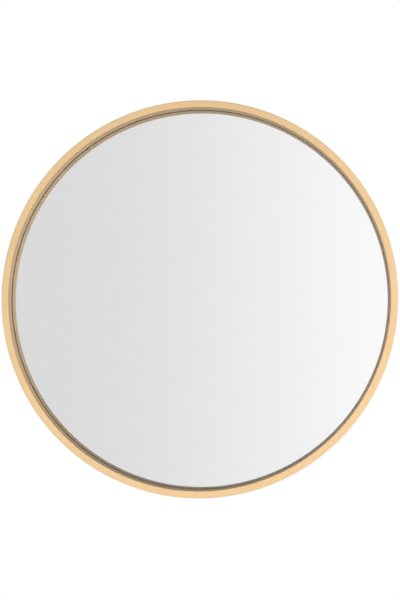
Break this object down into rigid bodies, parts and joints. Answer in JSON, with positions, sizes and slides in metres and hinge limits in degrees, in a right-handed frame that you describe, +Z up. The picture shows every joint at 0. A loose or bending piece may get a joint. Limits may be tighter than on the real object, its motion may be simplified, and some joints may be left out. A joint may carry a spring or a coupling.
{
  "type": "round bathroom mirror",
  "caption": "Round wall mirror with its glass set deep in a slim satin gold metal hoop, a backing board held by turn tabs, and ring hangers behind.",
  "frame": {"origin": "centre of the bounding box, on the disc's axis, half way from the front face to the wall", "axes": "+X to the right and +Z up as seen from the front, +Y towards the wall that it hangs on"},
  "size_m": [0.61, 0.038, 0.6099],
  "materials": {
    "gold_aluminium": "fine satin, champagne gold",
    "raw_aluminium": "mill finish",
    "mirror_glass": "polished float glass",
    "silver": "mirror silvering",
    "safety_film": "thin vinyl film on the silvering",
    "foam_tape": "closed-cell foam",
    "fibreboard": "sealed medium-density fibreboard",
    "zinc_steel": "bright zinc plate",
    "black_rubber": "moulded, matt",
    "grey_foam": "foam strip"
  },
  "bodies": {
    "mirror": {"frame_hoop": "gold_aluminium", "splice_key": "raw_aluminium", "splice_screws": "zinc_steel", "front_gasket": "grey_foam", "mirror_glass": "mirror_glass", "silver_coating": "silver", "safety_film": "safety_film", "setting_blocks": "black_rubber", "edge_spacers": "black_rubber", "mounting_tape": "foam_tape", "backing_board": "fibreboard", "tab_screws": "zinc_steel", "hanger_strap_left": "zinc_steel", "strap_screws_left": "zinc_steel", "wall_bumper_left": "black_rubber", "hanger_strap_right": "zinc_steel", "strap_screws_right": "zinc_steel", "wall_bumper_right": "black_rubber"},
    "hanger_ring_left": {"hanger_ring_left": "zinc_steel"},
    "hanger_ring_right": {"hanger_ring_right": "zinc_steel"},
    "turn_tab_1": {"turn_tab_1": "zinc_steel"},
    "turn_tab_2": {"turn_tab_2": "zinc_steel"},
    "turn_tab_3": {"turn_tab_3": "zinc_steel"},
    "turn_tab_4": {"turn_tab_4": "zinc_steel"},
    "turn_tab_5": {"turn_tab_5": "zinc_steel"},
    "turn_tab_6": {"turn_tab_6": "zinc_steel"}
  },
  "joints": [
    {"name": "hanger_ring_left_swing", "type": "hinge", "parent": "mirror", "child": "hanger_ring_left", "pos_m": [-0.14998, 0.01405, 0.14998], "axis": [-1, 0, 0], "range_deg": [0, 178]},
    {"name": "hanger_ring_right_swing", "type": "hinge", "parent": "mirror", "child": "hanger_ring_right", "pos_m": [0.14998, 0.01405, 0.14998], "axis": [-1, 0, 0], "range_deg": [0, 178]},
    {"name": "turn_tab_1_turn", "type": "hinge", "parent": "mirror", "child": "turn_tab_1", "pos_m": [0.287, 0.01155, 0], "axis": [0, 1, 0], "continuous": true},
    {"name": "turn_tab_2_turn", "type": "hinge", "parent": "mirror", "child": "turn_tab_2", "pos_m": [0.1435, 0.01155, 0.24855], "axis": [0, 1, 0], "continuous": true},
    {"name": "turn_tab_3_turn", "type": "hinge", "parent": "mirror", "child": "turn_tab_3", "pos_m": [-0.1435, 0.01155, 0.24855], "axis": [0, 1, 0], "continuous": true},
    {"name": "turn_tab_4_turn", "type": "hinge", "parent": "mirror", "child": "turn_tab_4", "pos_m": [-0.287, 0.01155, 0], "axis": [0, 1, 0], "continuous": true},
    {"name": "turn_tab_5_turn", "type": "hinge", "parent": "mirror", "child": "turn_tab_5", "pos_m": [-0.1435, 0.01155, -0.24855], "axis": [0, 1, 0], "continuous": true},
    {"name": "turn_tab_6_turn", "type": "hinge", "parent": "mirror", "child": "turn_tab_6", "pos_m": [0.1435, 0.01155, -0.24855], "axis": [0, 1, 0], "continuous": true}
  ]
}
